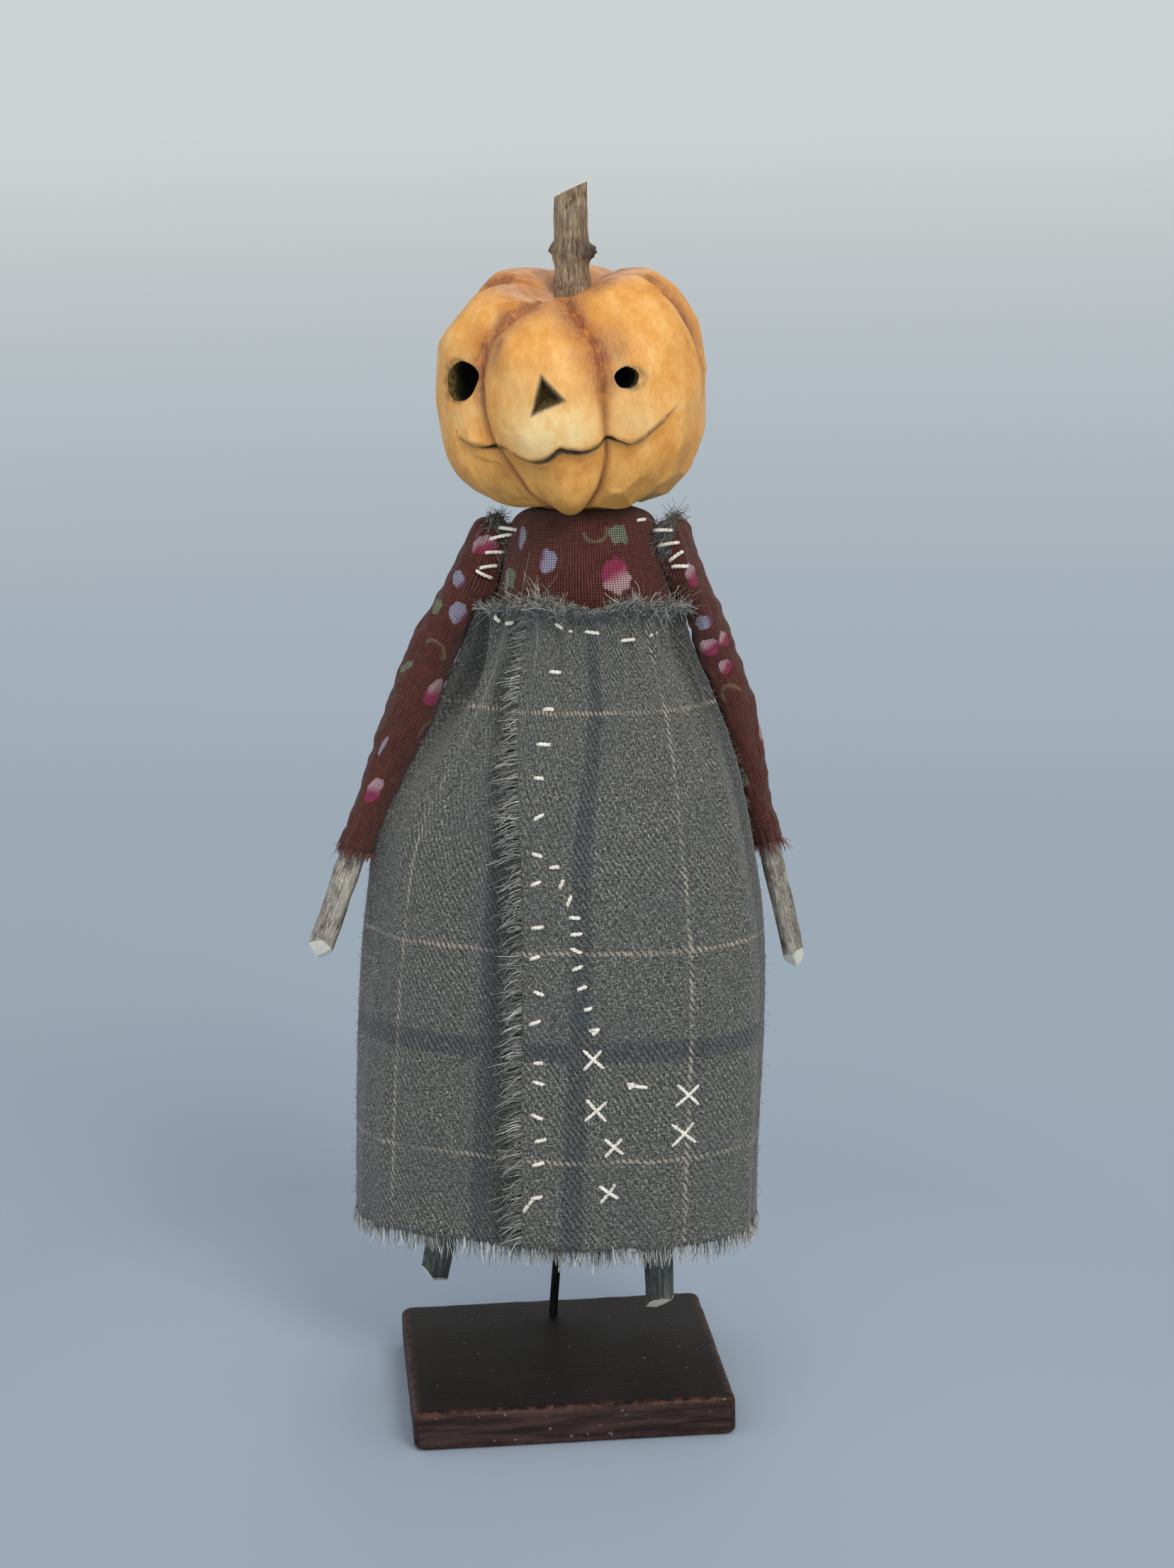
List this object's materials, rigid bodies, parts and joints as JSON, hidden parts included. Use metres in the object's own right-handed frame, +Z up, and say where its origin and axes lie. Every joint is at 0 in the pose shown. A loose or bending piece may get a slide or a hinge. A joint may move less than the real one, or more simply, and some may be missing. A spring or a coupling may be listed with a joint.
{
  "type": "folk art doll",
  "caption": "Standing folk art doll with a carved pumpkin head, calico bodice, wool wrap skirt and twig limbs, carried by a bent wire over a square wooden base.",
  "frame": {"origin": "centre of the base board's underside", "axes": "+Z up, +X to the viewer's right along the board's front edge, -Y out of the board's front; the doll faces about 20 degrees to the viewer's left of -Y"},
  "size_m": [0.0972, 0.0687, 0.2297],
  "materials": {
    "stained_board": "dark stain, worn satin",
    "black_wire": "black annealed wire",
    "bare_wood": "bare sanded softwood",
    "pumpkin_paint": "knife-carved basswood, thin orange stain",
    "bark": "dry bark with whittled ends",
    "calico": "printed cotton calico",
    "wool": "fulled grey wool twill, frayed edges"
  },
  "bodies": {
    "stand": {"base_board": "stained_board", "support_wire": "black_wire"},
    "doll": {"torso_core": "bare_wood", "bodice": "calico", "neck_dowel": "bare_wood", "pumpkin_head": "pumpkin_paint", "stem_twig": "bark", "skirt": "wool", "hip_wire": "black_wire"},
    "left_arm": {"left_sleeve": "calico", "left_arm_wool_roll": "wool", "left_arm_twig": "bark"},
    "right_arm": {"right_sleeve": "calico", "right_arm_wool_roll": "wool", "right_arm_twig": "bark"},
    "left_leg": {"left_leg_twig": "bark"},
    "right_leg": {"right_leg_twig": "bark"}
  },
  "joints": [
    {"name": "doll_turn", "type": "hinge", "parent": "stand", "child": "doll", "pos_m": [0.0097, 0.0123, 0.12], "axis": [0, 0, 1], "range_deg": [-100, 100]},
    {"name": "left_arm_raise", "type": "hinge", "parent": "doll", "child": "left_arm", "pos_m": [0.02595, 0.00373, 0.1651], "axis": [-0.342, -0.9397, 0], "range_deg": [0, 60]},
    {"name": "right_arm_raise", "type": "hinge", "parent": "doll", "child": "right_arm", "pos_m": [-0.00826, 0.01618, 0.1651], "axis": [0.342, 0.9397, 0], "range_deg": [0, 50]},
    {"name": "left_leg_swing", "type": "hinge", "parent": "doll", "child": "left_leg", "pos_m": [0.01865, 0.00319, 0.1241], "axis": [0.9397, -0.342, 0], "range_deg": [-6, 8]},
    {"name": "right_leg_swing", "type": "hinge", "parent": "doll", "child": "right_leg", "pos_m": [-0.00302, 0.01107, 0.1241], "axis": [0.9397, -0.342, 0], "range_deg": [-6, 8]}
  ]
}
